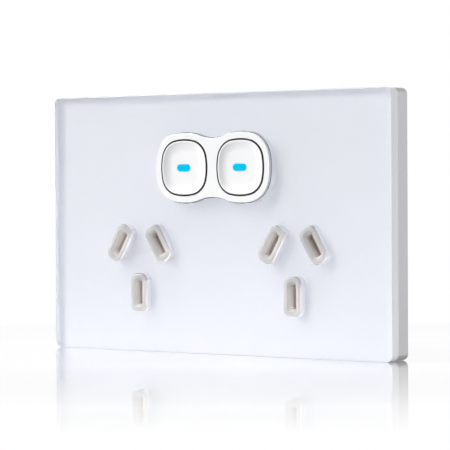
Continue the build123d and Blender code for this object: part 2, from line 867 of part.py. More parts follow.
# Terminal screws: slotted heads, backed out a little as supplied
terminal_places = [place for place, start in terminals.values()]
head_seat = terminal_back + terminal_screw_backed_out
head_top = head_seat + terminal_head_height
with BuildPart() as terminal_screws:
    with BuildSketch(wall_plane(head_top)):
        with Locations(*terminal_places):
            Circle(terminal_head_radius)
    extrude(amount=terminal_head_height)
    with BuildSketch(wall_plane(head_seat)):
        with Locations(*terminal_places):
            Circle(terminal_screw_radius)
    extrude(amount=head_seat - tunnel_depth - tunnel_radius / 2)
    with BuildSketch(wall_plane(head_top)):
        with Locations(*terminal_places):
            Rectangle(2 * terminal_head_radius, driver_slot_width)
    extrude(amount=driver_slot_depth, mode=Mode.SUBTRACT)
terminal_screws.part.label = "terminal_screws"
export_step(terminal_screws.part, "parts/terminal_screws.step")

# Rear cover: closes the box, with windows and shrouds for the terminals, carrier rails and strip posts
rail_offset = carrier_height / 2 + carrier_gap + rail_thickness / 2
strip_posts = [
    (-(outer_tab_x - left_drop_x) / 2, left_run_z),
    (outer_tab_x, left_run_z),
    (active_half - strip_post_radius, carrier_z),
]
shroud_size = terminal_size + 2 * (terminal_window_gap + shroud_wall)
with BuildPart() as rear_cover:
    with BuildSketch(wall_plane(cover_back)):
        add(body_shape)
    extrude(amount=cover_thickness)
    back_face = rear_cover.faces().sort_by(Axis.Y)[-1]
    fillet(back_face.edges(), radius=cover_edge_round)
    with BuildSketch(wall_plane(cover_back + shroud_height)):
        with Locations(*terminal_places):
            Rectangle(shroud_size, shroud_size)
    extrude(amount=shroud_height)
    with BuildSketch(wall_plane(cover_back + shroud_height)):
        with Locations(*terminal_places):
            Rectangle(terminal_size + 2 * terminal_window_gap, terminal_size + 2 * terminal_window_gap)
    extrude(amount=cover_thickness + shroud_height, mode=Mode.SUBTRACT)
    with BuildSketch(wall_plane(cover_back + shroud_height)):
        with Locations(*[(x, z - shroud_size / 2) for x, z in terminal_places]):
            Rectangle(2 * tunnel_radius, terminal_size)
    extrude(amount=shroud_height, mode=Mode.SUBTRACT)
    with BuildSketch(wall_plane(body_back)):
        for button_x in button_xs:
            with Locations((button_x, carrier_z - rail_offset), (button_x, carrier_z + rail_offset)):
                Rectangle(rail_width, rail_thickness)
    extrude(amount=body_back - rail_front)
    with BuildSketch(wall_plane(body_back)):
        with Locations(*strip_posts):
            Circle(strip_post_radius)
    extrude(amount=body_back - strip_back)
    with BuildSketch(wall_plane(cover_back)):
        with GridLocations(2 * post_x, 2 * post_z, 2, 2):
            Circle(cover_screw_radius + assembly_clearance)
    extrude(amount=cover_thickness, mode=Mode.SUBTRACT)
rear_cover.part.label = "rear_cover"
export_step(rear_cover.part, "parts/rear_cover.step")

# Indicator board, its lamps, resistors and pins
with BuildPart() as indicator_board:
    with BuildSketch(wall_plane(board_back)):
        with Locations((0, (board_low + board_high) / 2)):
            Rectangle(board_width, board_high - board_low)
        with Locations(*peg_places):
            Circle(peg_radius + peg_gap, mode=Mode.SUBTRACT)
    extrude(amount=board_thickness)
indicator_board.part.label = "indicator_board"
export_step(indicator_board.part, "parts/indicator_board.step")

for side, button_x in zip(sides, button_xs):
    with BuildPart() as lamp:
        with BuildSketch(wall_plane(board_front)):
            with Locations((button_x + window_shift, switch_z)):
                Rectangle(lamp_length, lamp_width)
        extrude(amount=lamp_height)
    lamp.part.label = "lamp_" + side
    export_step(lamp.part, "parts/lamp_" + side + ".step")

with BuildPart() as board_resistors:
    with BuildSketch(wall_plane(board_back + resistor_height)):
        with Locations((-resistor_x, resistor_z), (resistor_x, resistor_z)):
            Rectangle(resistor_length, resistor_width)
    extrude(amount=resistor_height)
board_resistors.part.label = "board_resistors"
export_step(board_resistors.part, "parts/board_resistors.step")

with BuildPart() as board_pins:
    with BuildSketch(wall_plane(strip_front)):
        with Locations((-board_pin_x, board_pin_z), (board_pin_x, board_pin_z)):
            Circle(board_pin_radius)
    extrude(amount=strip_front - board_back)
    with BuildSketch(wall_plane(rear_strip_front)):
        with Locations((neutral_arm_x, neutral_pin_z)):
            Circle(board_pin_radius)
    extrude(amount=rear_strip_front - board_back)
board_pins.part.label = "board_pins"
export_step(board_pins.part, "parts/board_pins.step")

# Assembly screws: through the body's ears into the grid plate, with cross slots
with BuildPart() as assembly_screws:
    with BuildSketch(wall_plane(deck)):
        with GridLocations(2 * ear_x, 2 * ear_z, 2, 2):
            Circle(assembly_head_radius)
    extrude(amount=assembly_head_height)
    with BuildSketch(wall_plane(deck - assembly_head_height)):
        with GridLocations(2 * ear_x, 2 * ear_z, 2, 2):
            Rectangle(cross_length, driver_slot_width)
            Rectangle(driver_slot_width, cross_length)
    extrude(amount=-cross_depth, mode=Mode.SUBTRACT)
    with BuildSketch(wall_plane(assembly_end)):
        with GridLocations(2 * ear_x, 2 * ear_z, 2, 2):
            Circle(assembly_radius)
    extrude(amount=assembly_end - deck)
assembly_screws.part.label = "assembly_screws"
export_step(assembly_screws.part, "parts/assembly_screws.step")

# Cover screws: from the rear into the body's posts, with cross slots
with BuildPart() as cover_screws:
    with BuildSketch(wall_plane(cover_back + cover_head_height)):
        with GridLocations(2 * post_x, 2 * post_z, 2, 2):
            Circle(cover_head_radius)
    extrude(amount=cover_head_height)
    with BuildSketch(wall_plane(cover_back + cover_head_height)):
        with GridLocations(2 * post_x, 2 * post_z, 2, 2):
            Rectangle(cross_length, driver_slot_width)
            Rectangle(driver_slot_width, cross_length)
    extrude(amount=cross_depth, mode=Mode.SUBTRACT)
    with BuildSketch(wall_plane(cover_back)):
        with GridLocations(2 * post_x, 2 * post_z, 2, 2):
            Circle(cover_screw_radius)
    extrude(amount=cover_thickness + cover_screw_length)
cover_screws.part.label = "cover_screws"
export_step(cover_screws.part, "parts/cover_screws.step")
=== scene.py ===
"""Looks of a switched double power point: clear fascia, silver-grey rim, white push buttons, lit bars."""

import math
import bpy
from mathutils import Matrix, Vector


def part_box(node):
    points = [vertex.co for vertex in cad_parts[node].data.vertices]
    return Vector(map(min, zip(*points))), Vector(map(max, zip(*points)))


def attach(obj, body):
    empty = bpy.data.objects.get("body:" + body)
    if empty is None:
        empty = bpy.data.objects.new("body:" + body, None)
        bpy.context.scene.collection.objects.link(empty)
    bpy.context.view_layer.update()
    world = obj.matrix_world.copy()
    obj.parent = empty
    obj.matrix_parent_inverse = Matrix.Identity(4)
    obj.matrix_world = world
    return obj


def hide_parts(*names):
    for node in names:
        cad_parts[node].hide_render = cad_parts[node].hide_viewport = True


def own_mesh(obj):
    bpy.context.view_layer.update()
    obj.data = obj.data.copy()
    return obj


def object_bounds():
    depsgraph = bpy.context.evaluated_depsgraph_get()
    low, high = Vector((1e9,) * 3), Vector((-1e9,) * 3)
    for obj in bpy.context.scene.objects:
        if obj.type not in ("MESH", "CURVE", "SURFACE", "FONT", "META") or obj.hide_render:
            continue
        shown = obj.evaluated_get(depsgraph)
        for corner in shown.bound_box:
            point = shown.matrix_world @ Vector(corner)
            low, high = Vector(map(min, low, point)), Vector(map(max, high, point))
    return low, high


bl_info = {
    "name": "Double Power Point Looks",
    "version": (1, 0, 0),
    "blender": (4, 5, 0),
    "location": "View3D > Sidebar > Power Point",
    "description": "Gives the power point its finishes, and builds the studio round it",
    "category": "Object",
}

import bmesh
import bpy
from bpy.props import FloatProperty, FloatVectorProperty, PointerProperty
from mathutils import Matrix, Vector

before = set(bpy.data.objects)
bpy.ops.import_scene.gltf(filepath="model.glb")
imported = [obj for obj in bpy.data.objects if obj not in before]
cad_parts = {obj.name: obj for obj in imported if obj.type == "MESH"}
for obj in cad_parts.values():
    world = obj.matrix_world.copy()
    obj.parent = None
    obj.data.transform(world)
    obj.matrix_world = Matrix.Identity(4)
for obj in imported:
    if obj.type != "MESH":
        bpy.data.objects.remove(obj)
cad_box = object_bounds()

MM = 0.001
FASCIA_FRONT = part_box("fascia")[0].y

# The CAD triangles are joined at points this near, and edges sharper than this angle stay creased.
WELD_MM = 0.0005
CREASE_DEGREES = 32
AREA_WEIGHT = 90

# Side walls have less than this of their normal along Y. The second value takes in their rounded edges.
WALL_SLOPE = 0.5
EDGE_SLOPE = 0.97

# Typical refractive indices.
PLASTIC_IOR = 1.5
ACRYLIC_IOR = 1.49
POLYCARBONATE_IOR = 1.58

# Patches over which a gloss drifts, and the depth of the finest surface patterns.
GLOSS_PATCH_MM = 14.0
POLISH_PATCH_MM = 9.0
FLAKE_DEPTH_MM = 0.004
STREAK_DEPTH_MM = 0.01
STREAK_STRETCH = (0.1, 1.0, 1.0)

# Depths behind the fascia's front: the clear skin of its front face, the start of the gap round the bezel, where
# its painted dark shade begins, and where the painted shade in the pin slots begins.
FRONT_SKIN_MM = 0.03
GAP_START_MM = 0.05
SLOT_DEPTH_MM = 1.75

# The lit bars: patches of the glow, how far it drifts, and the share of the colour that shows unlit.
BAR_PATCH_MM = 1.6
BAR_DRIFT = (0.9, 1.08)
BAR_UNLIT = 0.1

# The floor: half its side in metres, and the gap under the plate.
FLOOR_HALF_SIDE = 3.0
FLOOR_GAP_MM = 0.05
# Where the shadow and the mirror image start to fade and where they end, in metres, and how strong they are.
SHADOW_REACH = (0.04, 0.16)
SHADOW_SHARE = 0.5
MIRROR_REACH = (0.048, 0.209)
MIRROR_SHARE = 0.88
MIRROR_ROUGHNESS = 0.03
# Share of light that a glancing view has to mirror for the image to show in full.
FULL_MIRROR = 0.5


def linear(hex_colour):
    """Turn an sRGB hex value into linear red, green, blue."""
    parts = [int(hex_colour[i : i + 2], 16) / 255 for i in (1, 3, 5)]
    return tuple(c / 12.92 if c <= 0.04045 else ((c + 0.055) / 1.055) ** 2.4 for c in parts)


def opaque(colour):
    """Add a full alpha to a colour."""
    return (*colour, 1.0)


def per_mm(size):
    """Give the texture scale whose features are this many millimetres across."""
    return 1.0 / (size * MM)


def add_node(tree, kind, inputs=None, **settings):
    """Add one node with its settings, and set or link its inputs."""
    node = tree.nodes.new(kind)
    for name, value in settings.items():
        setattr(node, name, value)
    for name, value in (inputs or {}).items():
        if isinstance(value, bpy.types.NodeSocket):
            tree.links.new(value, node.inputs[name])
        else:
            node.inputs[name].default_value = value
    return node


def new_material(name):
    """Start an empty node material."""
    material = bpy.data.materials.new(name)
    material.use_nodes = True
    material.node_tree.nodes.clear()
    return material


def finish_material(material, shader):
    """Link a shader to the material's output."""
    add_node(material.node_tree, "ShaderNodeOutputMaterial", {"Surface": shader.outputs[0]})
    return material


def paint(material, *node_names):
    """Put a material on CAD nodes, and shade their flats flat up to the rounded edges."""
    for name in node_names:
        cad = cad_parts[name]
        for slot in cad.material_slots:
            slot.material = material
        joined = cad.modifiers.new("join_triangles", "WELD")
        joined.merge_threshold = WELD_MM * MM
        creased = cad.modifiers.new("keep_creases", "EDGE_SPLIT")
        creased.use_edge_sharp = False
        creased.split_angle = math.radians(CREASE_DEGREES)
        evened = cad.modifiers.new("shade_by_area", "WEIGHTED_NORMAL")
        evened.mode = "FACE_AREA"
        evened.weight = AREA_WEIGHT


def seen_by_eye(tree):
    """Tell rays that the eye follows, straight, mirrored or through glass, from rays that light a surface."""
    path = add_node(tree, "ShaderNodeLightPath")
    mirrored = add_node(
        tree,
        "ShaderNodeMath",
        {0: path.outputs["Is Camera Ray"], 1: path.outputs["Is Glossy Ray"]},
        operation="MAXIMUM",
    )
    followed = add_node(
        tree,
        "ShaderNodeMath",
        {0: mirrored.outputs[0], 1: path.outputs["Is Transmission Ray"]},
        operation="MAXIMUM",
    )
    unscattered = add_node(
        tree,
        "ShaderNodeMath",
        {0: path.outputs["Diffuse Depth"], 1: 0.5},
        operation="LESS_THAN",
    )
    return add_node(
        tree,
        "ShaderNodeMath",
        {0: followed.outputs[0], 1: unscattered.outputs[0]},
        operation="MULTIPLY",
    )


def moulded(name, colour, grain_mm, grain_depth_mm, roughness, spread, ior=PLASTIC_IOR):
    """Make a moulded plastic: one colour, a fine spark-eroded grain and an uneven gloss."""
    material = new_material(name)
    tree = material.node_tree
    place = add_node(tree, "ShaderNodeTexCoord").outputs["Object"]
    grain = add_node(tree, "ShaderNodeTexNoise", {"Vector": place, "Scale": per_mm(grain_mm), "Detail": 3.0})
    cloud = add_node(
        tree,
        "ShaderNodeTexNoise",
        {"Vector": place, "Scale": per_mm(GLOSS_PATCH_MM), "Detail": 2.0},
    )
    gloss = add_node(
        tree,
        "ShaderNodeMapRange",
        {"Value": cloud.outputs["Fac"], "To Min": roughness - spread, "To Max": roughness + spread},
    )
    bump = add_node(
        tree,
        "ShaderNodeBump",
        {"Height": grain.outputs["Fac"], "Strength": 1.0, "Distance": grain_depth_mm * MM},
    )
    shader = add_node(
        tree,
        "ShaderNodeBsdfPrincipled",
        {
            "Base Color": opaque(colour),
            "Roughness": gloss.outputs["Result"],
            "IOR": ior,
            "Normal": bump.outputs["Normal"],
        },
    )
    return finish_material(material, shader)


def lamps_pass(tree, shader, colour):
    """Let lamps light what lies behind a clear plastic, and leave it as it is to the eye."""
    open_way = add_node(tree, "ShaderNodeBsdfTransparent", {"Color": opaque(colour)})
    path = add_node(tree, "ShaderNodeLightPath")
    mixed = add_node(tree, "ShaderNodeMixShader", {"Fac": path.outputs["Is Shadow Ray"]})
    tree.links.new(shader.outputs[0], mixed.inputs[1])
    tree.links.new(open_way.outputs[0], mixed.inputs[2])
    return mixed


def uneven_polish(tree, place, roughness):
    """Give a roughness that drifts by half either way, in patches of about a centimetre."""
    cloud = add_node(
        tree,
        "ShaderNodeTexNoise",
        {"Vector": place, "Scale": per_mm(POLISH_PATCH_MM), "Detail": 2.0},
    )
    return add_node(
        tree,
        "ShaderNodeMapRange",
        {"Value": cloud.outputs["Fac"], "To Min": roughness * 0.5, "To Max": roughness * 1.5},
    )


def within(tree, value, reach):
    """Tell where a coordinate lies nearer to zero than this reach."""
    size = add_node(tree, "ShaderNodeMath", {0: value}, operation="ABSOLUTE")
    return add_node(tree, "ShaderNodeMath", {0: size.outputs[0], 1: reach}, operation="LESS_THAN")


def side_walls(tree, slope=WALL_SLOPE):
    """Tell the faces that run into the wall from those that look out of it, and give their normal.

    A slope near 1 takes in the rounded edges of those walls too.
    """
    normal = add_node(tree, "ShaderNodeNewGeometry").outputs["True Normal"]
    axes = add_node(tree, "ShaderNodeSeparateXYZ", {"Vector": normal})
    return within(tree, axes.outputs["Y"], slope), normal


def painted_shade_tone(material, mask, other_colour):
    """Give a plastic a painted shade: another colour where the mask is one."""
    tree = material.node_tree
    shader = next(node for node in tree.nodes if node.type == "BSDF_PRINCIPLED")
    base = shader.inputs["Base Color"]
    mixed = add_node(tree, "ShaderNodeMix", {"Factor": mask.outputs[0]}, data_type="RGBA")
    mixed.inputs["B"].default_value = opaque(other_colour)
    if base.is_linked:
        tree.links.new(base.links[0].from_socket, mixed.inputs["A"])
    else:
        mixed.inputs["A"].default_value = base.default_value
    tree.links.new(mixed.outputs["Result"], base)


def painted_acrylic(name, tint, paint_colour, gap_shade_colour, edge_mm, wall_shade):
    """Make a clear acrylic plate that is painted on its rear face, its outer edge and its openings' walls.

    The paint is white through the plastic. On the openings' walls it is greyer by a given factor, a painted
    shade.
    Round the switch bezel the walls are painted dark where seen from the gap, a painted shade. The rounded front
    edge, as deep as edge_mm, stays clear.
    """
    material = new_material(name)
    tree = material.node_tree
    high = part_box("fascia")[1]
    place = add_node(tree, "ShaderNodeTexCoord").outputs["Object"]
    axes = add_node(tree, "ShaderNodeSeparateXYZ", {"Vector": place})
    clear = add_node(
        tree,
        "ShaderNodeBsdfPrincipled",
        {
            "Base Color": opaque(tint),
            "Roughness": 0.0,
            "IOR": ACRYLIC_IOR,
            "Transmission Weight": 1.0,
        },
    )
    bezel_low, bezel_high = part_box("switch_bezel")
    beside_bezel = within(tree, axes.outputs["X"], bezel_high.x + edge_mm * MM)
    above_sockets = add_node(
        tree,
        "ShaderNodeMath",
        {0: axes.outputs["Z"], 1: bezel_low.z - edge_mm * MM},
        operation="GREATER_THAN",
    )
    near_bezel = add_node(
        tree,
        "ShaderNodeMath",
        {0: beside_bezel.outputs[0], 1: above_sockets.outputs[0]},
        operation="MULTIPLY",
    )
    inside_width = within(tree, axes.outputs["X"], high.x - edge_mm * MM)
    inside_height = within(tree, axes.outputs["Z"], high.z - edge_mm * MM)
    inside = add_node(
        tree,
        "ShaderNodeMath",
        {0: inside_width.outputs[0], 1: inside_height.outputs[0]},
        operation="MULTIPLY",
    )
    round_bezel = add_node(
        tree,
        "ShaderNodeMath",
        {0: near_bezel.outputs[0], 1: inside.outputs[0]},
        operation="MULTIPLY",
    )
    # Painted shade: round the bezel the walls are made dark where seen from the gap.
    through_plastic = add_node(tree, "ShaderNodeNewGeometry").outputs["Backfacing"]
    painted_gap_shade = add_node(
        tree,
        "ShaderNodeMath",
        {0: round_bezel.outputs[0], 1: through_plastic},
        operation="GREATER_THAN",
    )
    opening_walls = add_node(
        tree,
        "ShaderNodeMath",
        {0: inside.outputs[0], 1: side_walls(tree)[0].outputs[0]},
        operation="MULTIPLY",
    )
    # Painted shade: the openings' walls are made greyer than the rest of the paint.
    paint_and_wall_shade = add_node(tree, "ShaderNodeMix", {"Factor": opening_walls.outputs[0]}, data_type="RGBA")
    paint_and_wall_shade.inputs["A"].default_value = opaque(paint_colour)
    paint_and_wall_shade.inputs["B"].default_value = opaque(Vector(paint_colour) * wall_shade)
    paint_and_gap_shade = add_node(
        tree,
        "ShaderNodeMix",
        {"Factor": painted_gap_shade.outputs[0], "A": paint_and_wall_shade.outputs["Result"]},
        data_type="RGBA",
    )
    paint_and_gap_shade.inputs["B"].default_value = opaque(gap_shade_colour)
    # The film lies against the plastic, so it has no gloss of its own.
    film = add_node(
        tree,
        "ShaderNodeBsdfPrincipled",
        {"Base Color": paint_and_gap_shade.outputs["Result"], "Roughness": 0.6, "IOR": 1.0},
    )
    behind_edge = add_node(
        tree,
        "ShaderNodeMath",
        {0: axes.outputs["Y"], 1: FASCIA_FRONT + edge_mm * MM},
        operation="GREATER_THAN",
    )
    below_front = add_node(
        tree,
        "ShaderNodeMath",
        {0: axes.outputs["Y"], 1: FASCIA_FRONT + FRONT_SKIN_MM * MM},
        operation="GREATER_THAN",
    )
    opening = add_node(
        tree,
        "ShaderNodeMath",
        {0: inside.outputs[0], 1: below_front.outputs[0]},
        operation="MULTIPLY",
    )
    painted = add_node(
        tree,
        "ShaderNodeMath",
        {0: behind_edge.outputs[0], 1: opening.outputs[0]},
        operation="MAXIMUM",
    )
    plate = add_node(tree, "ShaderNodeMixShader", {"Fac": painted.outputs[0]})
    tree.links.new(clear.outputs[0], plate.inputs[1])
    tree.links.new(film.outputs[0], plate.inputs[2])
    return finish_material(material, plate)


def milky_plastic(name, colour, roughness, ior, clearness, haze_mm):
    """Make a clear moulded plastic that bends light and scatters it inside, with a faint uneven polish."""
    material = new_material(name)
    tree = material.node_tree
    place = add_node(tree, "ShaderNodeTexCoord").outputs["Object"]
    gloss = uneven_polish(tree, place, roughness)
    clear = add_node(
        tree,
        "ShaderNodeBsdfPrincipled",
        {
            "Base Color": opaque(colour),
            "Roughness": gloss.outputs["Result"],
            "IOR": ior,
            "Transmission Weight": clearness,
            "Subsurface Weight": 1.0,
            "Subsurface Radius": (1.0, 0.97, 0.94),
            "Subsurface Scale": haze_mm * MM,
        },
    )
    return finish_material(material, lamps_pass(tree, clear, colour))


def lacquered(name, colour, flake_mm, roughness):
    """Make a metallic lacquer: silver flakes that catch the light unevenly under a satin surface."""
    material = new_material(name)
    tree = material.node_tree
    place = add_node(tree, "ShaderNodeTexCoord").outputs["Object"]
    flakes = add_node(tree, "ShaderNodeTexNoise", {"Vector": place, "Scale": per_mm(flake_mm), "Detail": 3.0})
    gloss = add_node(
        tree,
        "ShaderNodeMapRange",
        {"Value": flakes.outputs["Fac"], "To Min": roughness * 0.85, "To Max": roughness * 1.15},
    )
    bump = add_node(
        tree,
        "ShaderNodeBump",
        {"Height": flakes.outputs["Fac"], "Strength": 1.0, "Distance": FLAKE_DEPTH_MM * MM},
    )
    shader = add_node(
        tree,
        "ShaderNodeBsdfPrincipled",
        {
            "Base Color": opaque(colour),
            "Metallic": 1.0,
            "Roughness": gloss.outputs["Result"],
            "Normal": bump.outputs["Normal"],
        },
    )
    return finish_material(material, shader)


def metal(name, colour, roughness, streak_mm):
    """Make a bare metal with rolling streaks across it."""
    material = new_material(name)
    tree = material.node_tree
    place = add_node(tree, "ShaderNodeTexCoord").outputs["Object"]
    stretched = add_node(tree, "ShaderNodeMapping", {"Vector": place, "Scale": STREAK_STRETCH})
    streaks = add_node(
        tree,
        "ShaderNodeTexNoise",
        {"Vector": stretched.outputs["Vector"], "Scale": per_mm(streak_mm), "Detail": 4.0},
    )
    gloss = add_node(
        tree,
        "ShaderNodeMapRange",
        {"Value": streaks.outputs["Fac"], "To Min": roughness * 0.7, "To Max": roughness * 1.3},
    )
    bump = add_node(
        tree,
        "ShaderNodeBump",
        {"Height": streaks.outputs["Fac"], "Strength": 1.0, "Distance": STREAK_DEPTH_MM * MM},
    )
    shader = add_node(
        tree,
        "ShaderNodeBsdfPrincipled",
        {
            "Base Color": opaque(colour),
            "Metallic": 1.0,
            "Roughness": gloss.outputs["Result"],
            "Normal": bump.outputs["Normal"],
        },
    )
    return finish_material(material, shader)


class PlateFinish(bpy.types.PropertyGroup):
    """Colours of the plate and what lies behind it."""

    fascia_tint: FloatVectorProperty(
        name="Fascia tint",
        description="Colour of the clear acrylic front plate",
        subtype="COLOR",
        default=linear("#FFFFFF"),
    )
    backing_colour: FloatVectorProperty(
        name="Backing colour",
        description="Colour of the sheet behind the clear plate",
        subtype="COLOR",
        default=linear("#F7F8FB"),
    )
    rim_colour: FloatVectorProperty(
        name="Rim colour",
        description="Colour of the silver-grey surround frame",
        subtype="COLOR",
        default=linear("#9E9EA0"),
    )
    insert_tint: FloatVectorProperty(
        name="Socket insert tint",
        description="Colour of the clear mouldings round the pin slots",
        subtype="COLOR",
        default=linear("#FEFDFC"),
    )
    # Painted shade: the collars' sides are made a little darker than the clear moulding.
    collar_side_shade: FloatVectorProperty(
        name="Collar side colour",
        description="Colour of the sides of the collars round the pin slots",
        subtype="COLOR",
        default=linear("#F2F2F0"),
    )
    # Painted shade: deep in the pin slots the moulding is made warmer and darker.
    slot_shade: FloatVectorProperty(
        name="Slot colour",
        description="Colour of the depth of the pin slots",
        subtype="COLOR",
        default=linear("#E0D6D0"),
    )
    moulding_colour: FloatVectorProperty(
        name="Moulding colour",
        description="Colour of the grid plate, mechanism body and rear cover",
        subtype="COLOR",
        default=linear("#EDEDEA"),
    )


class SwitchFinish(bpy.types.PropertyGroup):
    """Colours of the switches and their lit bars."""

    white: FloatVectorProperty(
        name="Switch white",
        description="Colour of the bezel and the buttons",
        subtype="COLOR",
        default=linear("#F9F9F9"),
    )
    # Painted shade: the walls inside the gaps round the buttons and the bezel are coloured dark, as shade.
    gap_shade_colour: FloatVectorProperty(
        name="Gap colour",
        description="Colour of the walls inside the gaps round the buttons and the bezel",
        subtype="COLOR",
        default=linear("#18181A"),
    )
    bar_colour: FloatVectorProperty(
        name="Lit bar colour",
        description="Colour of the light guides",
        subtype="COLOR",
        default=linear("#00C9F4"),
    )
    bar_glow: FloatProperty(
        name="Lit bar glow",
        description="How strongly the light guides glow; 1 shows the colour as it is",
        default=0.9,
        min=0.0,
    )


class StudioSettings(bpy.types.PropertyGroup):
    """Camera and light."""

    yaw: FloatProperty(
        name="Camera yaw",
        description="How far the camera stands to the right of straight ahead",
        default=math.radians(35.15),
        subtype="ANGLE",
    )
    pitch: FloatProperty(
        name="Camera pitch",
        description="How far the camera stands above level",
        default=math.radians(1.02),
        subtype="ANGLE",
    )
    roll: FloatProperty(
        name="Camera roll",
        description="How far the camera is turned about its own axis",
        default=math.radians(-0.30),
        subtype="ANGLE",
    )
    distance: FloatProperty(
        name="Camera distance",
        description="Distance from the camera to the point it looks at",
        default=0.6307,
        unit="LENGTH",
    )
    look_at: FloatVectorProperty(
        name="Look at",
        description="Point on the front of the fascia at the middle of the picture",
        default=(0.00387, FASCIA_FRONT, -0.00039),
        subtype="TRANSLATION",
    )
    lens: FloatProperty(
        name="Lens",
        description="Focal length in millimetres on a 36 mm sensor",
        default=179.04,
    )
    key_power: FloatProperty(
        name="Key light",
        description="Power of the large lamp at the upper left",
        default=142.0,
        subtype="POWER",
    )
    fill_power: FloatProperty(
        name="Fill light",
        description="Power of the lamp that lights the plate's right side",
        default=6.0,
        subtype="POWER",
    )
    sky_level: FloatProperty(
        name="Room light",
        description="Strength of the even light from all round",
        default=0.28,
        min=0.0,
    )


class POWERPOINT_OT_plate(bpy.types.Operator):
    """Give the clear fascia, its white backing and the silver-grey rim their finishes"""

    bl_idname = "powerpoint.plate"
    bl_label = "Finish plate"

    def execute(self, context):
        finish = context.scene.powerpoint_plate
        # Cast acrylic, polished and painted behind: white deep in the plate, a clear edge, a soft mirror on top.
        # A painted shade greys its openings' walls, and a painted dark shade lines the gap round the bezel.
        acrylic = painted_acrylic(
            "polished_cast_acrylic",
            finish.fascia_tint,
            finish.backing_colour,
            context.scene.powerpoint_switch.gap_shade_colour,
            edge_mm=0.8,
            wall_shade=0.92,
        )
        paint(acrylic, "fascia")
        # Calendered white sheet behind the acrylic: even, cool white.
        sheet = moulded(
            "white_calendered_sheet",
            finish.backing_colour,
            grain_mm=0.6,
            grain_depth_mm=0.002,
            roughness=0.5,
            spread=0.05,
        )
        paint(sheet, "fascia_backing")
        # Silver lacquer on ABS: satin, it mirrors the white room as a blurred grey. Real flakes are far finer,
        # and are drawn this coarse to show.
        lacquer = lacquered("silver_lacquered_abs", finish.rim_colour, flake_mm=0.5, roughness=0.38)
        paint(lacquer, "surround_frame")
        return {"FINISHED"}


class POWERPOINT_OT_switches(bpy.types.Operator):
    """Give the bezel, the buttons and the light guides their finishes"""

    bl_idname = "powerpoint.switches"
    bl_label = "Finish switches"

    def execute(self, context):
        finish = context.scene.powerpoint_switch
        # Satin moulded polycarbonate: bright white with a soft sheen, with a painted dark shade on the walls
        # down in the gaps. The mould's spark grain is far finer, and is drawn this coarse to show.
        satin = {
            "grain_mm": 0.4,
            "grain_depth_mm": 0.002,
            "roughness": 0.34,
            "spread": 0.04,
            "ior": POLYCARBONATE_IOR,
        }
        caps = moulded("white_polycarbonate_caps", finish.white, **satin)
        painted_shade_tone(caps, self.gap_edges(caps.node_tree, "GREATER_THAN"), finish.gap_shade_colour)
        paint(caps, "button_left", "button_right")
        ring = moulded("white_polycarbonate_bezel", finish.white, **satin)
        painted_shade_tone(ring, self.bezel_gaps(ring.node_tree), finish.gap_shade_colour)
        paint(ring, "switch_bezel")
        paint(self.lit_bar(finish), "light_guide_left", "light_guide_right")
        return {"FINISHED"}

    def gap_edges(self, tree, turned):
        """Tell the walls and rounded edges turned towards (less) or away from (greater) a button's middle."""
        low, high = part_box("button_right")
        centre = (low + high) / 2
        edges, normal = side_walls(tree, EDGE_SLOPE)
        place = add_node(tree, "ShaderNodeTexCoord").outputs["Object"]
        folded = add_node(tree, "ShaderNodeVectorMath", {0: place}, operation="ABSOLUTE")
        sides = add_node(tree, "ShaderNodeVectorMath", {0: place}, operation="SIGN")
        offset = add_node(
            tree,
            "ShaderNodeVectorMath",
            {0: folded.outputs[0], 1: (centre.x, 0, centre.z)},
            operation="SUBTRACT",
        )
        flat = add_node(tree, "ShaderNodeVectorMath", {0: offset.outputs[0], 1: (1, 0, 1)}, operation="MULTIPLY")
        facing = add_node(tree, "ShaderNodeVectorMath", {0: normal, 1: sides.outputs[0]}, operation="MULTIPLY")
        outward = add_node(
            tree,
            "ShaderNodeVectorMath",
            {0: flat.outputs[0], 1: facing.outputs[0]},
            operation="DOT_PRODUCT",
        )
        side = add_node(tree, "ShaderNodeMath", {0: outward.outputs["Value"], 1: 0.0}, operation=turned)
        return add_node(tree, "ShaderNodeMath", {0: edges.outputs[0], 1: side.outputs[0]}, operation="MULTIPLY")

    def bezel_gaps(self, tree):
        """Tell the bezel's hole walls, which look towards a button, and what lies behind the fascia's front."""
        place = add_node(tree, "ShaderNodeTexCoord").outputs["Object"]
        axes = add_node(tree, "ShaderNodeSeparateXYZ", {"Vector": place})
        sunk = add_node(
            tree,
            "ShaderNodeMath",
            {0: axes.outputs["Y"], 1: FASCIA_FRONT + GAP_START_MM * MM},
            operation="GREATER_THAN",
        )
        rear = add_node(
            tree,
            "ShaderNodeMath",
            {0: side_walls(tree)[0].outputs[0], 1: sunk.outputs[0]},
            operation="MULTIPLY",
        )
        holes = self.gap_edges(tree, "LESS_THAN")
        return add_node(tree, "ShaderNodeMath", {0: holes.outputs[0], 1: rear.outputs[0]}, operation="MAXIMUM")

    def lit_bar(self, finish):
        """Clear blue acrylic, lit from behind: saturated, a little brighter in cloudy patches."""
        material = new_material("lit_blue_acrylic")
        tree = material.node_tree
        place = add_node(tree, "ShaderNodeTexCoord").outputs["Object"]
        cloud = add_node(
            tree,
            "ShaderNodeTexNoise",
            {"Vector": place, "Scale": per_mm(BAR_PATCH_MM), "Detail": 1.0},
        )
        colour = Vector(finish.bar_colour)
        glow = add_node(tree, "ShaderNodeMix", {"Factor": cloud.outputs["Fac"]}, data_type="RGBA")
        glow.inputs["A"].default_value = opaque(colour * BAR_DRIFT[0])
        glow.inputs["B"].default_value = opaque(colour * BAR_DRIFT[1])
        shader = add_node(
            tree,
            "ShaderNodeBsdfPrincipled",
            {
                "Base Color": opaque(colour * BAR_UNLIT),
                "Roughness": 0.3,
                "IOR": ACRYLIC_IOR,
                "Specular IOR Level": 0.03,
                "Emission Color": glow.outputs["Result"],
                "Emission Strength": finish.bar_glow,
            },
        )
        return finish_material(material, shader)


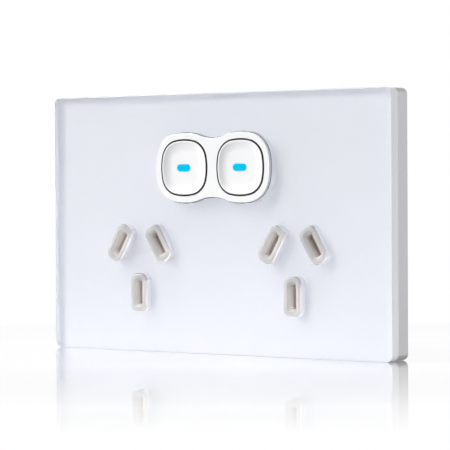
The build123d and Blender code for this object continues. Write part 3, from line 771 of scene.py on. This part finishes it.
class POWERPOINT_OT_sockets(bpy.types.Operator):
    """Give the clear socket inserts and the contacts behind them their finishes"""

    bl_idname = "powerpoint.sockets"
    bl_label = "Finish sockets"

    def execute(self, context):
        finish = context.scene.powerpoint_plate
        # Clear moulded polycarbonate: milky where its collars are thick, with painted shade: a little darker on
        # their sides, warmer and darker deep in the slots.
        insert = milky_plastic(
            "clear_moulded_polycarbonate",
            finish.insert_tint,
            roughness=0.06,
            ior=POLYCARBONATE_IOR,
            clearness=0.48,
            haze_mm=3.0,
        )
        painted_shade_tone(insert, self.collar_sides(insert.node_tree), finish.collar_side_shade)
        painted_shade_tone(insert, self.slot_depths(insert.node_tree), finish.slot_shade)
        paint(insert, "socket_insert_left", "socket_insert_right")
        # Rolled brass strip: warm, streaked along the rolling direction.
        brass = metal("rolled_brass_strip", linear("#D9AE62"), roughness=0.3, streak_mm=0.6)
        paint(
            brass,
            "active_bar",
            "switched_contact_left",
            "switched_contact_right",
            "neutral_bar",
            "earth_bar",
            "bridge_contact_left",
            "bridge_contact_right",
            "terminal_active",
            "terminal_neutral",
            "terminal_earth",
        )
        return {"FINISHED"}

    def collar_sides(self, tree):
        """Tell the collars' sides in front of the fascia."""
        place = add_node(tree, "ShaderNodeTexCoord").outputs["Object"]
        axes = add_node(tree, "ShaderNodeSeparateXYZ", {"Vector": place})
        proud = add_node(tree, "ShaderNodeMath", {0: axes.outputs["Y"], 1: FASCIA_FRONT}, operation="LESS_THAN")
        return add_node(
            tree,
            "ShaderNodeMath",
            {0: side_walls(tree)[0].outputs[0], 1: proud.outputs[0]},
            operation="MULTIPLY",
        )

    def slot_depths(self, tree):
        """Tell what lies deep in the slots, behind the fascia's front."""
        place = add_node(tree, "ShaderNodeTexCoord").outputs["Object"]
        axes = add_node(tree, "ShaderNodeSeparateXYZ", {"Vector": place})
        deep = FASCIA_FRONT + SLOT_DEPTH_MM * MM
        return add_node(tree, "ShaderNodeMath", {0: axes.outputs["Y"], 1: deep}, operation="GREATER_THAN")


class POWERPOINT_OT_mechanism(bpy.types.Operator):
    """Give the mouldings, springs, screws and indicator parts their finishes"""

    bl_idname = "powerpoint.mechanism"
    bl_label = "Finish mechanism"

    def execute(self, context):
        finish = context.scene.powerpoint_plate
        # Moulded urea: matt white with a fine tool grain.
        urea = moulded(
            "white_moulded_urea",
            finish.moulding_colour,
            grain_mm=0.35,
            grain_depth_mm=0.01,
            roughness=0.55,
            spread=0.08,
        )
        paint(urea, "grid_plate", "mechanism_body", "rear_cover")
        # Moulded nylon: matt black.
        nylon = moulded(
            "black_moulded_nylon",
            linear("#232426"),
            grain_mm=0.3,
            grain_depth_mm=0.008,
            roughness=0.5,
            spread=0.06,
        )
        paint(nylon, "contact_carrier_left", "contact_carrier_right", "board_resistors")
        # Zinc-plated steel: bright grey, finely streaked.
        zinc = metal("zinc_plated_steel", linear("#C9CBCE"), roughness=0.32, streak_mm=0.3)
        paint(
            zinc,
            "return_spring_left",
            "return_spring_right",
            "carrier_spring_left",
            "carrier_spring_right",
            "terminal_screws",
            "assembly_screws",
            "cover_screws",
            "board_pins",
        )
        for side in ("left", "right"):
            self.pressed_spring(f"return_spring_{side}", f"button_{side}_press")
        # Solder mask on glass cloth: satin green, with the cloth's unevenness under it.
        mask = moulded(
            "green_solder_mask",
            linear("#1F6B38"),
            grain_mm=0.8,
            grain_depth_mm=0.01,
            roughness=0.3,
            spread=0.05,
        )
        paint(mask, "indicator_board")
        # Clear epoxy lamp body: glossy, pale blue.
        epoxy = moulded(
            "pale_epoxy_lamp",
            linear("#DCEFF6"),
            grain_mm=0.5,
            grain_depth_mm=0.001,
            roughness=0.15,
            spread=0.03,
        )
        paint(epoxy, "lamp_left", "lamp_right")
        return {"FINISHED"}

    def pressed_spring(self, node, joint):
        """A copy of a button's spring in the original's place, fixed to the plate, with the original hidden."""
        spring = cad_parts[node].copy()
        spring.data = spring.data.copy()
        spring.name = f"pressed_{node}"
        bpy.context.scene.collection.objects.link(spring)
        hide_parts(node)
        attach(spring, "plate")
        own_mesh(spring)


class POWERPOINT_OT_studio(bpy.types.Operator):
    """Build the floor, the lamps, the room light and the camera"""

    bl_idname = "powerpoint.studio"
    bl_label = "Build studio"

    def execute(self, context):
        studio = context.scene.powerpoint_studio
        self.floor(studio.yaw)
        self.lamp("key_lamp", studio.key_power, azimuth=-60.0, elevation=38.0, distance=3.0, size=2.4)
        self.lamp("fill_lamp", studio.fill_power, azimuth=115.0, elevation=10.0, distance=1.1, size=0.9)
        self.room(context.scene, studio.sky_level)
        self.camera(context.scene, studio)
        context.scene.view_settings.view_transform = "Standard"
        # Light crosses the clear plate several times between its faces, and is followed all the way.
        context.scene.cycles.blur_glossy = 0.0
        context.scene.cycles.max_bounces = 24
        context.scene.cycles.diffuse_bounces = 12
        context.scene.cycles.glossy_bounces = 12
        return {"FINISHED"}

    def floor(self, turn):
        """A wide white floor under the plate's lower edge, which keeps a faint mirror image and shadow."""
        level = cad_box[0].z - FLOOR_GAP_MM * MM
        mesh = bpy.data.meshes.new("studio_floor")
        shape = bmesh.new()
        bmesh.ops.create_grid(shape, x_segments=1, y_segments=1, size=FLOOR_HALF_SIDE)
        bmesh.ops.translate(shape, verts=shape.verts, vec=(0, 0, level))
        shape.to_mesh(mesh)
        shape.free()
        floor = bpy.data.objects.new("studio_floor", mesh)
        bpy.context.scene.collection.objects.link(floor)
        mesh.materials.append(self.floor_material(level, turn))

    def floor_material(self, level, turn):
        """White gloss card: plain white, with a mirror image at a glancing view that fades away from the plate.

        The fade runs along the floor in one fixed direction, turned this far from straight ahead of the plate.
        """
        material = new_material("white_gloss_card")
        tree = material.node_tree
        place = add_node(tree, "ShaderNodeTexCoord").outputs["Object"]
        centred = add_node(tree, "ShaderNodeMapping", {"Vector": place, "Location": (0, 0, -level)})
        reach = add_node(tree, "ShaderNodeVectorMath", {0: centred.outputs["Vector"]}, operation="LENGTH")
        near = add_node(
            tree,
            "ShaderNodeMapRange",
            {
                "Value": reach.outputs["Value"],
                "From Min": SHADOW_REACH[0],
                "From Max": SHADOW_REACH[1],
                "To Min": 1.0,
                "To Max": 0.0,
            },
        )
        seen = seen_by_eye(tree)
        # As a reflector the card is darker far from the plate, which shades the plate a little towards its top.
        far_card = linear("#A0A0A2")
        near_card = linear("#E6E6E8")
        paper = add_node(tree, "ShaderNodeMix", {"Factor": near.outputs["Result"]}, data_type="RGBA")
        paper.inputs["A"].default_value = opaque(far_card)
        paper.inputs["B"].default_value = opaque(near_card)
        card = add_node(tree, "ShaderNodeBsdfDiffuse", {"Color": paper.outputs["Result"]})
        white = add_node(tree, "ShaderNodeEmission", {"Color": (1, 1, 1, 1), "Strength": 1.0})
        shadow_part = add_node(
            tree,
            "ShaderNodeMath",
            {0: near.outputs["Result"], 1: SHADOW_SHARE},
            operation="MULTIPLY",
        )
        plain = add_node(tree, "ShaderNodeMixShader", {"Fac": shadow_part.outputs[0]})
        tree.links.new(white.outputs[0], plain.inputs[1])
        tree.links.new(card.outputs[0], plain.inputs[2])
        mirror = add_node(tree, "ShaderNodeBsdfGlossy", {"Color": (1, 1, 1, 1), "Roughness": MIRROR_ROUGHNESS})
        ahead = (math.sin(turn), -math.cos(turn), 0)
        along = add_node(tree, "ShaderNodeVectorMath", {0: place, 1: ahead}, operation="DOT_PRODUCT")
        away = add_node(tree, "ShaderNodeMath", {0: along.outputs["Value"]}, operation="ABSOLUTE")
        fade = add_node(
            tree,
            "ShaderNodeMapRange",
            {
                "Value": away.outputs[0],
                "From Min": MIRROR_REACH[0],
                "From Max": MIRROR_REACH[1],
                "To Min": MIRROR_SHARE,
                "To Max": 0.0,
            },
        )
        glancing = add_node(tree, "ShaderNodeFresnel", {"IOR": PLASTIC_IOR})
        gloss = add_node(tree, "ShaderNodeMapRange", {"Value": glancing.outputs["Fac"], "From Max": FULL_MIRROR})
        mirror_part = add_node(
            tree,
            "ShaderNodeMath",
            {0: fade.outputs["Result"], 1: gloss.outputs["Result"]},
            operation="MULTIPLY",
        )
        shown = add_node(tree, "ShaderNodeMixShader", {"Fac": mirror_part.outputs[0]})
        tree.links.new(plain.outputs[0], shown.inputs[1])
        tree.links.new(mirror.outputs[0], shown.inputs[2])
        both = add_node(tree, "ShaderNodeMixShader", {"Fac": seen.outputs[0]})
        tree.links.new(card.outputs[0], both.inputs[1])
        tree.links.new(shown.outputs[0], both.inputs[2])
        return finish_material(material, both)

    def lamp(self, name, power, azimuth, elevation, distance, size):
        """A square soft lamp at this side and height, pointed at the plate."""
        data = bpy.data.lights.new(name, "AREA")
        data.size = size
        data.energy = power
        lamp = bpy.data.objects.new(name, data)
        turn = math.radians(azimuth)
        rise = math.radians(elevation)
        way = Vector((math.sin(turn) * math.cos(rise), -math.cos(turn) * math.cos(rise), math.sin(rise)))
        lamp.location = way * distance
        lamp.rotation_euler = way.to_track_quat("Z", "Y").to_euler()
        bpy.context.scene.collection.objects.link(lamp)

    def room(self, scene, level):
        """Even light from all round, seen as plain white by the camera and in reflections."""
        world = bpy.data.worlds.new("studio_room")
        world.use_nodes = True
        tree = world.node_tree
        tree.nodes.clear()
        seen = seen_by_eye(tree)
        strength = add_node(
            tree,
            "ShaderNodeMapRange",
            {"Value": seen.outputs[0], "To Min": level, "To Max": 1.0},
        )
        sky = add_node(
            tree,
            "ShaderNodeBackground",
            {"Color": (1, 1, 1, 1), "Strength": strength.outputs["Result"]},
        )
        add_node(tree, "ShaderNodeOutputWorld", {"Surface": sky.outputs[0]})
        scene.world = world

    def camera(self, scene, studio):
        """The picture's view: far to the right, almost level, with a long lens."""
        back = Vector(
            (
                math.sin(studio.yaw) * math.cos(studio.pitch),
                -math.cos(studio.yaw) * math.cos(studio.pitch),
                math.sin(studio.pitch),
            )
        )
        level_right = Vector((math.cos(studio.yaw), math.sin(studio.yaw), 0))
        level_up = back.cross(level_right)
        right = level_right * math.cos(studio.roll) + level_up * math.sin(studio.roll)
        up = level_up * math.cos(studio.roll) - level_right * math.sin(studio.roll)
        data = bpy.data.cameras.new("studio_camera")
        data.lens = studio.lens
        data.sensor_width = 36.0
        camera = bpy.data.objects.new("studio_camera", data)
        turned = Matrix((right, up, back)).transposed().to_4x4()
        camera.matrix_world = Matrix.Translation(Vector(studio.look_at) + back * studio.distance) @ turned
        scene.collection.objects.link(camera)
        scene.camera = camera


class POWERPOINT_PT_panel(bpy.types.Panel):
    """Sidebar panel that lists the steps and their settings"""

    bl_label = "Power Point"
    bl_idname = "POWERPOINT_PT_panel"
    bl_space_type = "VIEW_3D"
    bl_region_type = "UI"
    bl_category = "Power Point"

    def draw(self, context):
        layout = self.layout
        for group in ("powerpoint_plate", "powerpoint_switch", "powerpoint_studio"):
            settings = getattr(context.scene, group)
            box = layout.box()
            for name in settings.__annotations__:
                box.prop(settings, name)
        for operator in OPERATORS:
            layout.operator(operator.bl_idname)


OPERATORS = (
    POWERPOINT_OT_plate,
    POWERPOINT_OT_switches,
    POWERPOINT_OT_sockets,
    POWERPOINT_OT_mechanism,
    POWERPOINT_OT_studio,
)
CLASSES = (PlateFinish, SwitchFinish, StudioSettings, *OPERATORS, POWERPOINT_PT_panel)


def register():
    for cls in CLASSES:
        bpy.utils.register_class(cls)
    bpy.types.Scene.powerpoint_plate = PointerProperty(type=PlateFinish)
    bpy.types.Scene.powerpoint_switch = PointerProperty(type=SwitchFinish)
    bpy.types.Scene.powerpoint_studio = PointerProperty(type=StudioSettings)


def unregister():
    del bpy.types.Scene.powerpoint_studio
    del bpy.types.Scene.powerpoint_switch
    del bpy.types.Scene.powerpoint_plate
    for cls in reversed(CLASSES):
        bpy.utils.unregister_class(cls)


def main():
    """Run every step in order."""
    register()
    bpy.ops.powerpoint.plate()
    bpy.ops.powerpoint.switches()
    bpy.ops.powerpoint.sockets()
    bpy.ops.powerpoint.mechanism()
    bpy.ops.powerpoint.studio()


if __name__ == "__main__":
    main()
